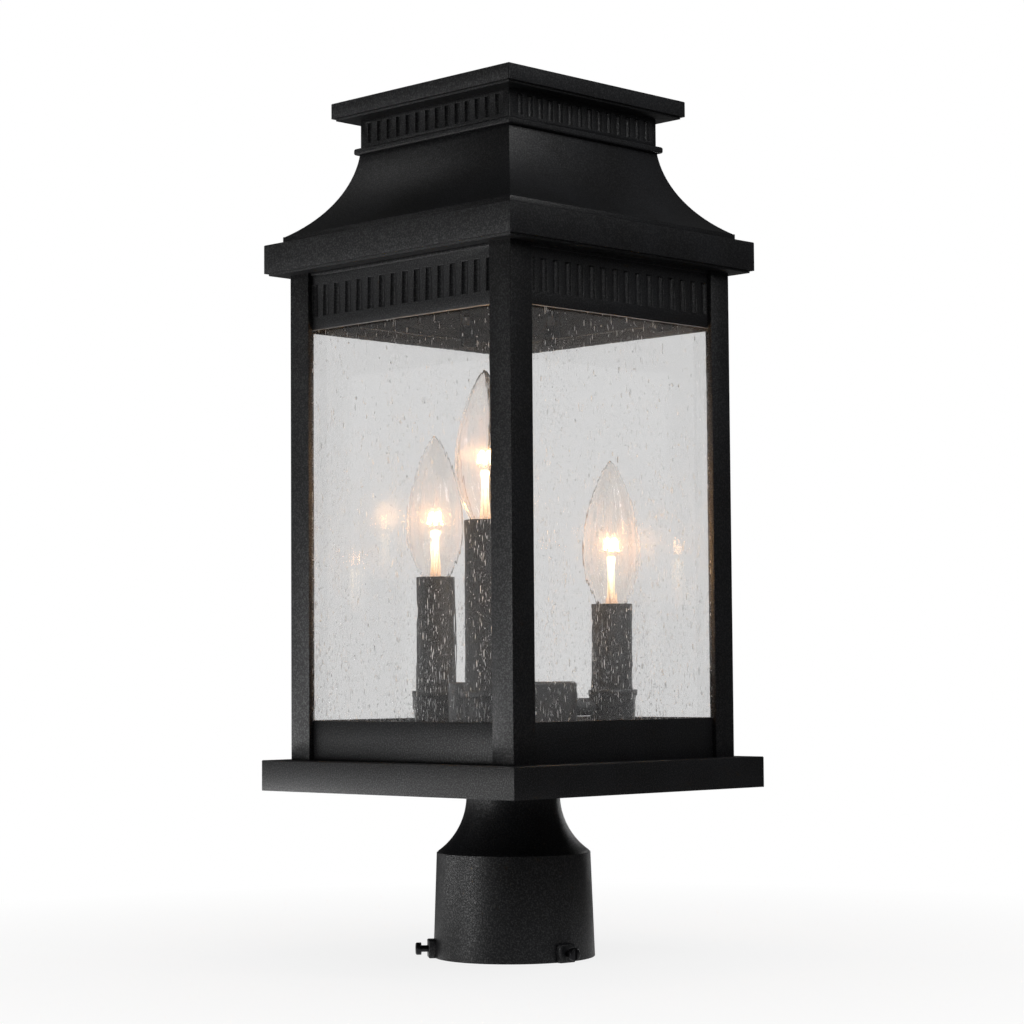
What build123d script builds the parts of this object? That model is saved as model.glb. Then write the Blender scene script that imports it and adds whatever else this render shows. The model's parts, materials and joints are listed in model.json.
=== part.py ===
"""Post top lantern: a square glazed cage on a round post fitter, with a flared roof.

Millimetres, +Z up. The origin is the centre of the fitter's rim, where the lantern
meets its post. The cage's faces are parallel to X and Y. "Front" is -Y and "right" is +X.
"""

import math
import os

from build123d import *

os.makedirs("parts", exist_ok=True)

# ---------------------------------------------------------------- driving sizes
# Fits and clearances
running_gap = 0.05      # radial room round a screw, stud or socket
seat_gap = 0.3          # room between neighbours that are not fastened face to face

# Post fitter: an aluminium casting that drops over a 3-inch lamp post
post_radius = 38.1
post_gap = 0.9          # radial room between the post and the bore
bore_depth = 55.0
shoulder_wall = 2.0     # wall at the top of the collar
rim_extra = 2.0         # draft: the rim is this much thicker than the shoulder
shoulder_rise = 0.4     # shoulder above the bore's end
shoulder_in = 0.9       # the shoulder's eased edge: in, and up
shoulder_up = 0.6
sweep_bulge = 0.36      # how hollow the neck's sweep is
neck_radius = 25.0
neck_wall = 3.5
sweep_height = 30.0     # height of the concave sweep from shoulder to neck
neck_shows = 3.1        # straight neck that shows under the base tray
web_thickness = 6.0     # floor at the neck's top that the nipple passes through
boss_width = 10.0
boss_height = 9.6
boss_proud = 3.1        # how far a boss stands off the rim
boss_corner = 1.0
boss_angle = 112.0      # direction of the first set screw
set_screw_radius = 1.75
set_screw_head_radius = 3.25
set_screw_head_height = 2.8
set_screw_stand_off = 3.7   # head's underside off the boss face, with the screw backed out
set_screw_tip_back = 0.2    # tip behind the bore's wall
set_screw_head_ease = 0.5
set_screw_slot_width = 0.9
set_screw_slot_depth = 1.1

# Base tray: an inverted pressed tray
tray_overhang = 11.1    # its edge beyond the posts' outer faces
tray_height = 16.2
sheet = 1.5
tray_corner = 0.5       # radius of a pressed tray's or pan's upright corners
tray_top_ease = 0.4     # its top edge, broken all round

# Cage
post_half = 83.9        # outer faces of the corner posts
leg_width = 15.0
leg_thickness = 2.5
leg_corner = 0.8        # radius of a post's outer edge
cage_height = 260.6
lug_size = 17.4         # square lugs that close the posts' ends
lug_thickness = 3.0
panel_thickness = 2.5
rail_height = 21.0
lintel_height = 30.8
flange_width = 12.0
flange_thickness = 2.0
groove_floor_z = 13.0   # glass groove's floor above the tray
groove_lip_height = 6.0
lip_thickness = 1.5
bead_height = 1.5       # narrow bead along a lintel's top edge
bead_proud = 1.1

# Flutes in the lintels and in the collar above the roof
lintel_flutes = 16
lintel_flute_margin = 2.525     # first flute's middle in from the end of the face
lintel_flute_width = 4.6
flute_depth = 1.3
lintel_flute_low = 7.2      # flute's lower end above the lintel's lower edge
lintel_flute_length = 16.6
frieze_flutes = 14
frieze_flute_margin = 8.05
frieze_flute_width = 3.9
frieze_flute_low = 2.3
frieze_flute_length = 10.8

# Glazing
glass_thickness = 3.0
pane_corner_gap = 0.9   # room between two panes at a corner
glass_rise = 6.0        # how far a pane stands up behind its lintel
clip_width = 10.0
clip_thickness = 1.0
clip_height = 20.0
clip_flutes = 5         # a clip stands this many flutes out, behind a ridge between two
clip_bite = 4.0         # how far a clip reaches down over the glass

# Fasteners
cage_screw_radius = 2.0
cage_screw_head_radius = 3.8
cage_screw_head_height = 2.4
clip_screw_radius = 1.5
clip_screw_head_height = 1.6
clip_screw_bite = 2.0
clip_screw_flats = 4.8  # across the flats of its hexagon head
stud_radius = 2.0
stud_length = 13.0
stud_inset = 11.4       # stud's centre in from the post's outer face
stud_hole_gap = 0.3
stud_head_height = 1.5
thumb_nut_radius = 5.0
thumb_nut_height = 6.0
roof_screw_radius = 1.5
roof_screw_head_radius = 2.9
roof_screw_head_height = 2.0
roof_screw_end = 1.0    # screw's end beyond what it holds
crown_screw_in = 11.8   # long screws in from the collar's faces

# Candle cluster
arm_shows = 10.2        # bare arm between the hub and a cup
hub_height = 40.8
hub_wall = 1.2
hub_edge = 1.2          # chamfer round the hub's top
nipple_radius = 6.6
nipple_bore = 4.6
nipple_top = 4.5        # nipple above the hub's top
nipple_foot = 8.0       # nipple below the fitter's web
locknut_radius = 10.0
locknut_height = 4.0
cap_nut_height = 7.0
cap_nut_ease = 2.5      # chamfer round the cap nut's corners
arm_radius = 4.75
arm_bore = 3.6
arm_drop = 13.75        # arm's axis below the hub's top
arm_reach_in = 4.0      # arm's end inside the hub
lamp_room = 4.2         # room between a bulb and the glass beside it
first_candle_angle = 62.0
cup_rim_proud = 2.3     # cup's rim beyond the sleeve
cup_rim_drop = 7.8      # underside of the rim below the hub's top
cup_rim_height = 3.2
cup_proud = 1.2         # cup's body beyond the sleeve
cup_wall = 1.5
cup_depth = 17.0        # cup body below its rim
cup_bowl_height = 5.0   # rounded bottom of the cup
cup_foot_radius = 7.0
bowl_in = 1.3           # middle of the bowl's round: in from the cup's body
bowl_up = 1.6           # and up from its foot
cup_recess = 2.5        # how deep a sleeve sits in its cup
sleeve_wall = 1.0
short_candle = 46.3     # sleeve above the cup's rim
middle_candle = 62.4
tall_candle = 88.3
holder_drop = 8.0       # lampholder's mouth below the sleeve's mouth
holder_length = 28.0
holder_wall = 2.4
holder_room = 1.6       # room between the lampholder and its sleeve
holder_socket_depth = 19.5
stem_radius = 4.8
stem_bore = 3.4
stem_in_holder = 5.0
stem_below_cup = 3.0
lead_width = 4.0        # flat twin lead from each lampholder to the neck
lead_thickness = 2.0
lead_bend = 5.0
lead_circle = 16.0      # where the leads go down through the tray
lead_hole_radius = 2.8
lead_tail = 5.5         # lead's end below the fitter's web

# Bulb: a clear torpedo candelabra lamp on a 12 mm screw base
base_radius = 5.95
base_wall = 0.5
base_height = 14.0
insulator_height = 3.2
insulator_radius = 2.6
tip_height = 1.0
tip_ease = 0.6
shell_ease = 1.0        # screw shell's foot, eased
envelope_neck = 5.3
neck_depth = 6.0        # glass neck down inside the base
neck_below_mouth = 6.5  # top of the neck's straight part
base_lip = 0.5          # the base's rim above the lampholder's mouth
mouth_room = 2.0        # room between the glass and the sleeve's mouth
belly_radius = 16.0
belly_pull = (0.45, 0.3, 0.6, 0.56)     # how full the torpedo's side is, from its mouth to its tip
tip_pull = 0.15
belly_height = 26.0     # widest point above the sleeve's mouth
bulb_height = 78.0      # tip above the sleeve's mouth
glass_wall = 0.8
stem_glass_radius = 3.2
stem_glass_top = 20.0   # glass mount above the sleeve's mouth
press_low = 2.0         # the mount narrows from this far below the mouth
press_high = 4.0        # to this far above it
press_share = 0.45      # its narrow part's share of the radius
wire_bite = 1.0         # lead wires' feet in the glass mount
lead_wire_radius = 0.4
filament_radius = 0.6
filament_height = 34.0
filament_spread = 5.0

# Roof
soffit_drop = 1.2       # soffit pan's edge below the fascia
soffit_plate = 1.5
pan_wall = 1.2
eave_overhang = 10.0    # fascia beyond the posts' outer faces
eave_height = 15.5
eave_opening_in = 12.5  # opening into the roof, in from the studs
lip_in = 7.4            # roof's upright lip in from the fascia
lip_height = 4.4
flare_step = 0.5        # slopes' feet in from the lip
tab_margin = 6.0        # corner tab's inner edge in from its screw
flare_height = 44.4
flare_radius = 62.0     # hollow curve of the roof's slopes
frieze_half = 56.8      # faces of the fluted collar under the cap
flare_top_proud = 0.2   # slopes' tops beyond the collar
ledge_overhang = 2.4
ledge_height = 3.7
ledge_round = 1.2
frieze_height = 15.2
frieze_wall = 2.8
frieze_corner = 0.8
crown_opening_in = 16.8 # openings through the crown, in from the collar's faces
cap_overhang = 11.2     # cap beyond the collar
cap_height = 9.5

# ---------------------------------------------------------------- derived places
bore_radius = post_radius + post_gap
shoulder_radius = bore_radius + shoulder_wall
rim_radius = shoulder_radius + rim_extra
shoulder_z = bore_depth + shoulder_rise
sweep_top_z = shoulder_z + sweep_height
tray_half = post_half + tray_overhang
tray_z = sweep_top_z + neck_shows
tray_top_z = tray_z + tray_height
tray_plate_z = tray_top_z - sheet
web_z = tray_plate_z - web_thickness
set_screw_z = boss_height / 2
boss_face = rim_radius + boss_proud

cage_top_z = tray_top_z + cage_height
panel_half = post_half - leg_thickness          # outer face of rails and lintels
glass_half = panel_half - panel_thickness       # outer face of the panes
glass_back = glass_half - glass_thickness
pane_half = glass_back - pane_corner_gap        # half a pane's width
window_half = post_half - leg_width
face_half = window_half - seat_gap / 3          # ends of the faces between the posts
ear_half = glass_half - seat_gap                # panels reach this far behind the legs
lug_end = panel_half                            # lugs stand in the posts' inner corner
lug_clear = lug_end - lug_size - seat_gap       # flanges stop short of the lugs
rail_top_z = tray_top_z + rail_height
lintel_z = cage_top_z - lintel_height
glass_z = tray_top_z + groove_floor_z
glass_top_z = lintel_z + glass_rise
stud_place = post_half - stud_inset
clip_z = glass_top_z - clip_bite                # clip's lower end, on the glass
lintel_flute_pitch = 2 * (window_half - lintel_flute_margin) / (lintel_flutes - 1)
frieze_flute_pitch = 2 * (frieze_half - frieze_flute_margin) / (frieze_flutes - 1)
clip_place = clip_flutes * lintel_flute_pitch

hub_top_z = tray_top_z + hub_height
arm_z = hub_top_z - arm_drop
cup_rim_low = hub_top_z - cup_rim_drop
cup_rim_z = cup_rim_low + cup_rim_height        # cup's top face
sleeve_z = cup_rim_z - cup_recess
socket_bore = base_radius + running_gap
holder_radius = socket_bore + holder_wall
sleeve_bore = holder_radius + holder_room
sleeve_radius = sleeve_bore + sleeve_wall
mouth_radius = sleeve_bore - mouth_room         # glass at the sleeve's mouth
cup_radius = sleeve_radius + cup_proud
cup_rim_radius = sleeve_radius + cup_rim_proud
candle_circle = glass_back - belly_radius - lamp_room
hub_radius = candle_circle - cup_radius - arm_shows

eave_half = post_half + eave_overhang
eave_opening = stud_place - eave_opening_in     # half width of the opening into the roof
lip_half = eave_half - lip_in
flare_foot_half = lip_half - flare_step
flare_top_half = frieze_half + flare_top_proud
ledge_half = frieze_half + ledge_overhang
crown_opening = frieze_half - crown_opening_in
cap_half = frieze_half + cap_overhang

fascia_z = cage_top_z + soffit_drop
eave_top_z = fascia_z + eave_height
flare_foot_z = eave_top_z + lip_height
flare_top_z = flare_foot_z + flare_height
ledge_top_z = flare_top_z + ledge_height
frieze_top_z = ledge_top_z + frieze_height
cap_top_z = frieze_top_z + cap_height

SIDES = {"front": 0.0, "right": 90.0, "back": 180.0, "left": 270.0}
CORNERS = {"front_right": 0.0, "back_right": 90.0, "back_left": 180.0, "front_left": 270.0}
CANDLES = {"short": (0.0, short_candle), "middle": (120.0, middle_candle),
           "tall": (240.0, tall_candle)}


# ---------------------------------------------------------------- helpers
def save(node, shape):
    export_step(shape, "parts/" + node + ".step")


def block(x0, x1, y0, y1, z0, z1):
    """A box between two corners."""
    size = (x1 - x0, y1 - y0, z1 - z0)
    return Pos(x0, y0, z0) * Box(*size, align=(Align.MIN, Align.MIN, Align.MIN))


def slab(half, z0, z1):
    """A square plate, centred on the axis."""
    return block(-half, half, -half, half, z0, z1)


def rod(radius, z0, z1, x=0.0, y=0.0):
    """A vertical cylinder."""
    align = (Align.CENTER, Align.CENTER, Align.MIN)
    return Pos(x, y, z0) * Cylinder(radius, z1 - z0, align=align)


def tube(outer, inner, z0, z1, x=0.0, y=0.0):
    return rod(outer, z0, z1, x, y) - rod(inner, z0, z1, x, y)


def turned(wire):
    """A solid of revolution about Z from a closed (r, z) outline drawn in XZ."""
    return revolve(make_face(Plane.XZ * wire), Axis.Z)


def about_z(shape, angle):
    return Rot(0, 0, angle) * shape


def group(solids):
    return Compound(children=list(solids))


def upright_edges(shape):
    return shape.edges().filter_by(Axis.Z)


def pressed_tray(half, z0, z1, wall):
    """An inverted tray: flat top, four skirts, eased at its bends."""
    outer = fillet(upright_edges(slab(half, z0, z1)), tray_corner)
    outer = chamfer(outer.faces().sort_by(Axis.Z)[-1].edges(), tray_top_ease)
    inner = slab(half - wall, z0, z1 - wall)
    return outer - inner


def nested_pan(half, opening, z0, z1):
    """A pan with its plate down and its walls up, and a square opening in the plate."""
    outer = fillet(upright_edges(slab(half, z0, z1)), tray_corner)
    hollow = slab(half - pan_wall, z0 + soffit_plate, z1)
    return outer - hollow - slab(opening, z0, z1)


def corner_places(distance):
    """The four points at +-distance from both middle planes."""
    return [(sx * distance, sy * distance) for sx in (-1, 1) for sy in (-1, 1)]


def screw_up(x, y, seat_z, grip, radius, head_radius, head_height):
    """A screw driven upwards: its head is under seat_z and its shank above."""
    shank = rod(radius, seat_z, seat_z + grip, x, y)
    return shank + rod(head_radius, seat_z - head_height, seat_z, x, y)


# ---------------------------------------------------------------- post fitter
def sweep_line(start, end, bulge):
    """The concave sweep of the neck: leaves the shoulder flat and ends upright."""
    (r0, z0), (r1, z1) = start, end
    middle = (r1 + (r0 - r1) * bulge, z0 + (z1 - z0) * bulge)
    return ThreePointArc((r0, z0), middle, (r1, z1))


def wire_holes(z0, z1):
    """The holes that the three leads go down through, under their own arms."""
    hole = rod(lead_hole_radius, z0, z1, lead_circle)
    return [about_z(hole, first_candle_angle + turn) for turn, _ in CANDLES.values()]


def post_fitter():
    outer_start = (shoulder_radius - shoulder_in, shoulder_z + shoulder_up)
    outer = Polyline((bore_radius, 0), (rim_radius, 0), (shoulder_radius, shoulder_z), outer_start)
    outer_sweep = sweep_line(outer_start, (neck_radius, sweep_top_z), sweep_bulge)
    neck_bore = neck_radius - neck_wall
    inner_start = (bore_radius - neck_wall, bore_depth)
    inner_sweep = sweep_line(inner_start, (neck_bore, sweep_top_z - neck_wall), sweep_bulge)
    hole = nipple_radius + running_gap
    top = Polyline((neck_radius, sweep_top_z), (neck_radius, tray_plate_z),
                   (hole, tray_plate_z), (hole, web_z), (neck_bore, web_z),
                   (neck_bore, sweep_top_z - neck_wall))
    foot = Polyline(inner_start, (bore_radius, bore_depth), (bore_radius, 0))
    body = turned(Wire([*outer.edges(), *outer_sweep.edges(), *top.edges(),
                        *inner_sweep.edges(), *foot.edges()]))
    body -= wire_holes(web_z, tray_plate_z)
    for number in range(3):
        boss = block(bore_radius + shoulder_wall / 2, boss_face,
                     -boss_width / 2, boss_width / 2, 0, boss_height)
        upper = boss.faces().sort_by(Axis.X)[-1].edges().filter_by(Axis.Z)
        boss = fillet(upper, boss_corner)
        drill = rod(set_screw_radius + running_gap, post_radius, boss_face + seat_gap)
        drill = Pos(0, 0, set_screw_z) * Rot(0, 90, 0) * drill
        angle = boss_angle + 120 * number
        body = body + about_z(boss, angle) - about_z(drill, angle)
    return body


def set_screw():
    """Along +X, its tip just behind the bore's wall and its slotted head outside."""
    tip = bore_radius + set_screw_tip_back
    head_in = boss_face + set_screw_stand_off
    head_out = head_in + set_screw_head_height
    shank = rod(set_screw_radius, tip, head_in)
    head = rod(set_screw_head_radius, head_in, head_out)
    head = chamfer(head.edges().sort_by(Axis.Z)[-1], set_screw_head_ease)
    slot = Pos(0, 0, head_out) * Box(3 * set_screw_head_radius, set_screw_slot_width,
                                     2 * set_screw_slot_depth)
    return Pos(0, 0, set_screw_z) * Rot(0, 90, 0) * (shank + head - slot)


# ---------------------------------------------------------------- base and cage
def base_tray():
    tray = pressed_tray(tray_half, tray_z, tray_top_z, sheet)
    tray -= rod(nipple_radius + running_gap, tray_plate_z, tray_top_z)
    tray -= wire_holes(tray_plate_z, tray_top_z)
    for x, y in corner_places(stud_place):
        tray -= rod(cage_screw_radius + running_gap, tray_plate_z, tray_top_z, x, y)
    return tray


def lug(z, hole_radius):
    """A square lug in the front right post's corner, notched round the two panels' ends."""
    low = lug_end - lug_size
    top = z + lug_thickness
    plate = block(low, lug_end, -lug_end, -low, z, top)
    plate -= block(low, window_half, -lug_end, -ear_half, z, top)
    plate -= block(ear_half, lug_end, -window_half, -low, z, top)
    return plate - rod(hole_radius, z, top, stud_place, -stud_place)


def corner_post():
    """The front right post: an angle with a lug across each end."""
    post = block(window_half, post_half, -post_half, -window_half, tray_top_z, cage_top_z)
    post = fillet(upright_edges(post).sort_by(lambda e: e.center().X - e.center().Y)[-1], leg_corner)
    post -= block(window_half, panel_half, -panel_half, -window_half, tray_top_z, cage_top_z)
    foot = lug(tray_top_z, cage_screw_radius + running_gap)
    head = lug(cage_top_z - lug_thickness, stud_radius + stud_hole_gap)
    return post + foot + head


def panel(z0, z1, lug_z0, lug_z1):
    """The front rail's or lintel's face, with ears behind the legs that clear the lugs."""
    ears = block(-ear_half, ear_half, -panel_half, -glass_half, lug_z0, lug_z1)
    return ears + block(-face_half, face_half, -panel_half, -glass_half, z0, z1)


def bottom_rail():
    """Front rail: foot flange inwards, and a groove behind the face for the glass."""
    rail = panel(tray_top_z, rail_top_z, tray_top_z + lug_thickness + seat_gap, rail_top_z)
    rail += block(-lug_clear, lug_clear, -glass_half, -glass_half + flange_width,
                  tray_top_z, tray_top_z + flange_thickness)
    lip_back = glass_back - seat_gap
    rail += block(-window_half, window_half, -glass_half, -lip_back + lip_thickness,
                  glass_z - lip_thickness, glass_z)
    rail += block(-window_half, window_half, -lip_back, -lip_back + lip_thickness,
                  glass_z, glass_z + groove_lip_height)
    return rail


def flutes(count, pitch, width, depth, face, z0, z1):
    """Round-bottomed, flat-ended cutters for flutes in a face at y = -face."""
    radius = (width ** 2 / 4 + depth ** 2) / (2 * depth)
    first = -(count - 1) / 2 * pitch
    axis_y = -face - radius + depth
    cutters = [rod(radius, z0, z1, first + pitch * i, axis_y) for i in range(count)]
    return cutters


def lintel():
    """Front lintel: fluted face, a bead along its top edge and a flange under the roof."""
    top_lug_z = cage_top_z - lug_thickness - seat_gap
    plate = panel(lintel_z, cage_top_z, lintel_z, top_lug_z)
    flute_z = lintel_z + lintel_flute_low
    plate -= flutes(lintel_flutes, lintel_flute_pitch, lintel_flute_width, flute_depth,
                    panel_half, flute_z, flute_z + lintel_flute_length)
    plate += block(-face_half, face_half, -panel_half - bead_proud, -panel_half,
                   cage_top_z - bead_height, cage_top_z)
    plate += block(-lug_clear, lug_clear, -glass_half, -glass_half + flange_width,
                   cage_top_z - flange_thickness, cage_top_z)
    for x in (-clip_place, clip_place):
        plate -= clip_screw_bore(x)
    return plate


def clip_screw_z():
    return clip_z + clip_height - clip_width / 2


def clip_screw_bore(x):
    hole = rod(clip_screw_radius + running_gap, 0, clip_screw_bite)
    return Pos(x, -glass_half - clip_screw_bite, clip_screw_z()) * Rot(-90, 0, 0) * hole


def glass_pane():
    return block(-pane_half, pane_half, -glass_half, -glass_back, glass_z, glass_top_z)


def pane_clip(x):
    """A bent strip: screwed flat behind the lintel, then down behind the glass."""
    top = clip_z + clip_height
    bend_z = glass_top_z + seat_gap
    back = -glass_back + seat_gap
    strip = block(x - clip_width / 2, x + clip_width / 2, -glass_half, -glass_half + clip_thickness,
                  bend_z, top)
    strip += block(x - clip_width / 2, x + clip_width / 2, -glass_half, back + clip_thickness,
                   bend_z, bend_z + clip_thickness)
    strip += block(x - clip_width / 2, x + clip_width / 2, back, back + clip_thickness,
                   clip_z, bend_z)
    hole = rod(clip_screw_radius + running_gap, 0, clip_thickness)
    return strip - Pos(x, -glass_half, clip_screw_z()) * Rot(-90, 0, 0) * hole


def clip_screw(x):
    seat = clip_thickness
    shank = rod(clip_screw_radius, -clip_screw_bite + seat_gap, seat)
    head = hexagon(clip_screw_flats / math.sqrt(3), seat, seat + clip_screw_head_height)
    return Pos(x, -glass_half, clip_screw_z()) * Rot(-90, 0, 0) * (shank + head)


def round_the_sides(make):
    """Copies of the front side's small pieces on all four sides."""
    return [about_z(make(x), turn) for turn in SIDES.values() for x in (-clip_place, clip_place)]


# ---------------------------------------------------------------- candle cluster
def hexagon(radius, z0, z1):
    """A hexagon bar; radius is to its corners."""
    return Pos(0, 0, z0) * extrude(RegularPolygon(radius, 6), z1 - z0)


def threaded_nipple():
    return tube(nipple_radius, nipple_bore, web_z - nipple_foot, hub_top_z + nipple_top)


def nipple_locknuts():
    solids = []
    for low in (web_z - locknut_height, tray_top_z):
        high = low + locknut_height
        solids.append(hexagon(locknut_radius, low, high)
                      - rod(nipple_radius + running_gap, low, high))
    return group(solids)


def hub_cap_nut():
    """The domed nut that draws the hub down on the tray."""
    top = hub_top_z + cap_nut_height
    dome = chamfer(rod(locknut_radius - running_gap, hub_top_z, top).edges().sort_by(Axis.Z)[-1],
                   cap_nut_ease)
    nut = hexagon(locknut_radius, hub_top_z, top) & dome
    return nut - rod(nipple_radius + running_gap, hub_top_z, hub_top_z + nipple_top + seat_gap)


def cluster_hub():
    shell = chamfer(rod(hub_radius, tray_top_z, hub_top_z).edges().sort_by(Axis.Z)[-1], hub_edge)
    shell -= rod(hub_radius - hub_wall, tray_top_z, hub_top_z - hub_wall)
    shell -= rod(nipple_radius + running_gap, hub_top_z - hub_wall, hub_top_z)
    for turn, _ in CANDLES.values():
        hole = rod(arm_radius + running_gap, hub_radius - 2 * arm_radius, hub_radius)
        hole = Pos(0, 0, arm_z) * Rot(0, 90, 0) * hole
        shell -= about_z(hole, first_candle_angle + turn)
    return shell


def arm():
    """A straight tube from inside the hub to inside the cup."""
    start = hub_radius - hub_wall - arm_reach_in
    end = candle_circle - cup_radius + cup_wall
    return Pos(0, 0, arm_z) * Rot(0, 90, 0) * tube(arm_radius, arm_bore, start, end)


def candle_cup():
    """A turned cup, hollow below its rim plate, with a recess for the sleeve."""
    low = cup_rim_low - cup_depth
    inner = cup_radius - cup_wall
    plate_z = cup_rim_low - cup_wall
    recess = sleeve_radius + running_gap
    hole = stem_radius + running_gap
    bowl_z = low + cup_bowl_height
    outline = Wire([
        *Polyline((hole, plate_z), (inner, plate_z), (inner, bowl_z),
                  (cup_foot_radius, low + cup_wall), (cup_foot_radius, low)).edges(),
        *ThreePointArc((cup_foot_radius, low), (cup_radius - bowl_in, low + bowl_up),
                       (cup_radius, bowl_z)).edges(),
        *Polyline((cup_radius, bowl_z), (cup_radius, cup_rim_low),
                  (cup_rim_radius, cup_rim_low), (cup_rim_radius, cup_rim_z),
                  (recess, cup_rim_z), (recess, sleeve_z), (hole, sleeve_z),
                  (hole, plate_z)).edges(),
    ])
    cup = turned(outline)
    socket = Pos(0, 0, arm_z) * Rot(0, -90, 0) * rod(arm_radius + running_gap, 0, 2 * cup_radius)
    return Pos(candle_circle, 0, 0) * (cup - socket)


def candle_sleeve(top):
    return tube(sleeve_radius, sleeve_bore, sleeve_z, top, candle_circle)


def lampholder(top):
    """The holder with its moulded-on lead: down the stem, in along the arm, down to the neck."""
    mouth = top - holder_drop
    foot = mouth - holder_length
    body = rod(holder_radius, foot, mouth) - rod(socket_bore, mouth - holder_socket_depth, mouth)
    body -= rod(stem_radius + running_gap, foot, foot + stem_in_holder)
    start = (candle_circle, 0, foot + stem_in_holder)
    route = FilletPolyline(start, (candle_circle, 0, arm_z), (lead_circle, 0, arm_z),
                           (lead_circle, 0, web_z - lead_tail), radius=lead_bend)
    section = Pos(*start) * Rectangle(lead_thickness, lead_width)
    return Pos(candle_circle, 0, 0) * body + sweep(section, path=route)


def candle_stem(top):
    foot = top - holder_drop - holder_length
    return tube(stem_radius, stem_bore, cup_rim_low - stem_below_cup,
                foot + stem_in_holder, candle_circle)


# ---------------------------------------------------------------- bulb
def bulb_base(top):
    """Screw shell, insulator cone and contact; (r, z) from the sleeve's mouth down."""
    high = top - holder_drop + base_lip
    low = high - base_height
    cone_low = low - insulator_height
    tip_low = cone_low - tip_height
    inside = base_radius - base_wall
    floor_z = low + base_wall
    outline = Polyline((0, floor_z), (inside, floor_z), (inside, high), (base_radius, high),
                       (base_radius, low + shell_ease), (base_radius - shell_ease, low),
                       (insulator_radius, cone_low), (insulator_radius, tip_low + tip_ease),
                       (insulator_radius - tip_ease, tip_low), (0, tip_low), close=True)
    return Pos(candle_circle, 0, 0) * turned(outline)


def bulb_side(inset, top):
    """The torpedo's side, moved in by inset: up its neck, out to the belly, in to the tip."""
    neck = (envelope_neck - inset, top - neck_below_mouth)
    mouth = (mouth_radius - inset, top)
    belly_r = belly_radius - inset
    belly = (belly_r, top + belly_height)
    tip = (0, top + bulb_height - inset)
    out, up, swell_up, flank_up = belly_pull
    spread = (mouth[0] + (belly_r - mouth[0]) * out, top + belly_height * up)
    swell = (belly_r, top + belly_height * swell_up)
    flank = (belly_r, belly[1] + (tip[1] - belly[1]) * flank_up)
    crown = (belly_r * tip_pull, tip[1])
    lower = Bezier(mouth, spread, swell, belly)
    upper = Bezier(belly, flank, crown, tip)
    return neck, tip, [*Line(neck, mouth).edges(), *lower.edges(), *upper.edges()]


def bulb_envelope(top):
    foot_z = top - holder_drop + base_lip - neck_depth
    outer_neck, outer_tip, outer = bulb_side(0.0, top)
    inner_neck, inner_tip, inner = bulb_side(glass_wall, top)
    foot = Polyline(inner_neck, (inner_neck[0], foot_z), (outer_neck[0], foot_z), outer_neck)
    outline = Wire([*foot.edges(), *outer, *Line(outer_tip, inner_tip).edges(), *inner])
    return Pos(candle_circle, 0, 0) * turned(outline)


def bulb_mount(top):
    """The glass mount with its two lead wires and the filament between them."""
    foot = top - holder_drop + base_lip - base_height + base_wall
    high = top + stem_glass_top
    narrow = stem_glass_radius * press_share
    outline = Polyline((0, foot), (stem_glass_radius, foot), (stem_glass_radius, top - press_low),
                       (narrow, top + press_high), (narrow, high), (0, high), close=True)
    mount = turned(outline)
    wire_z = top + filament_height
    half = filament_spread / 2
    wire_foot = high - wire_bite
    lean = math.degrees(math.atan2(half, wire_z - wire_foot))
    length = math.hypot(half, wire_z - wire_foot)
    for side in (-1, 1):
        wire = Pos(0, 0, wire_foot) * Rot(0, side * lean, 0) * rod(lead_wire_radius, 0, length)
        mount += wire
    coil = Pos(-half - lead_wire_radius, 0, wire_z) * Rot(0, 90, 0)
    mount += coil * rod(filament_radius, 0, filament_spread + 2 * lead_wire_radius)
    return Pos(candle_circle, 0, 0) * mount


# ---------------------------------------------------------------- roof
def eave_tray():
    tray = pressed_tray(eave_half, fascia_z, eave_top_z, sheet)
    tray -= slab(eave_opening, fascia_z, eave_top_z)
    for x, y in corner_places(eave_screw_place()):
        tray -= rod(roof_screw_radius + running_gap, eave_top_z - sheet, eave_top_z, x, y)
    return tray


def eave_screw_place():
    return (eave_opening + lip_half - sheet) / 2


def crown_screw_place():
    return frieze_half - crown_screw_in


def eave_soffit():
    """The pan under the eave, whose plate rests on the cage; its opening shows the roof's inside."""
    pan = nested_pan(eave_half - sheet - seat_gap, eave_opening, cage_top_z, eave_top_z - sheet)
    for x, y in corner_places(stud_place):
        pan -= rod(stud_radius + running_gap, cage_top_z, cage_top_z + soffit_plate, x, y)
    return pan


def roof_studs():
    """Shouldered studs hanging from the soffit pan through the posts' top lugs."""
    solids = []
    for x, y in corner_places(stud_place):
        plate_top = cage_top_z + soffit_plate
        stud = rod(stud_radius, cage_top_z - stud_length, plate_top, x, y)
        solids.append(stud + rod(2 * stud_radius, plate_top, plate_top + stud_head_height, x, y))
    return group(solids)


def roof_nuts():
    """Round thumb nuts under the top lugs."""
    solids = []
    high = cage_top_z - lug_thickness
    low = high - thumb_nut_height
    for x, y in corner_places(stud_place):
        nut = tube(thumb_nut_radius, stud_radius + running_gap, low, high, x, y)
        solids.append(nut)
    return group(solids)


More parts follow.
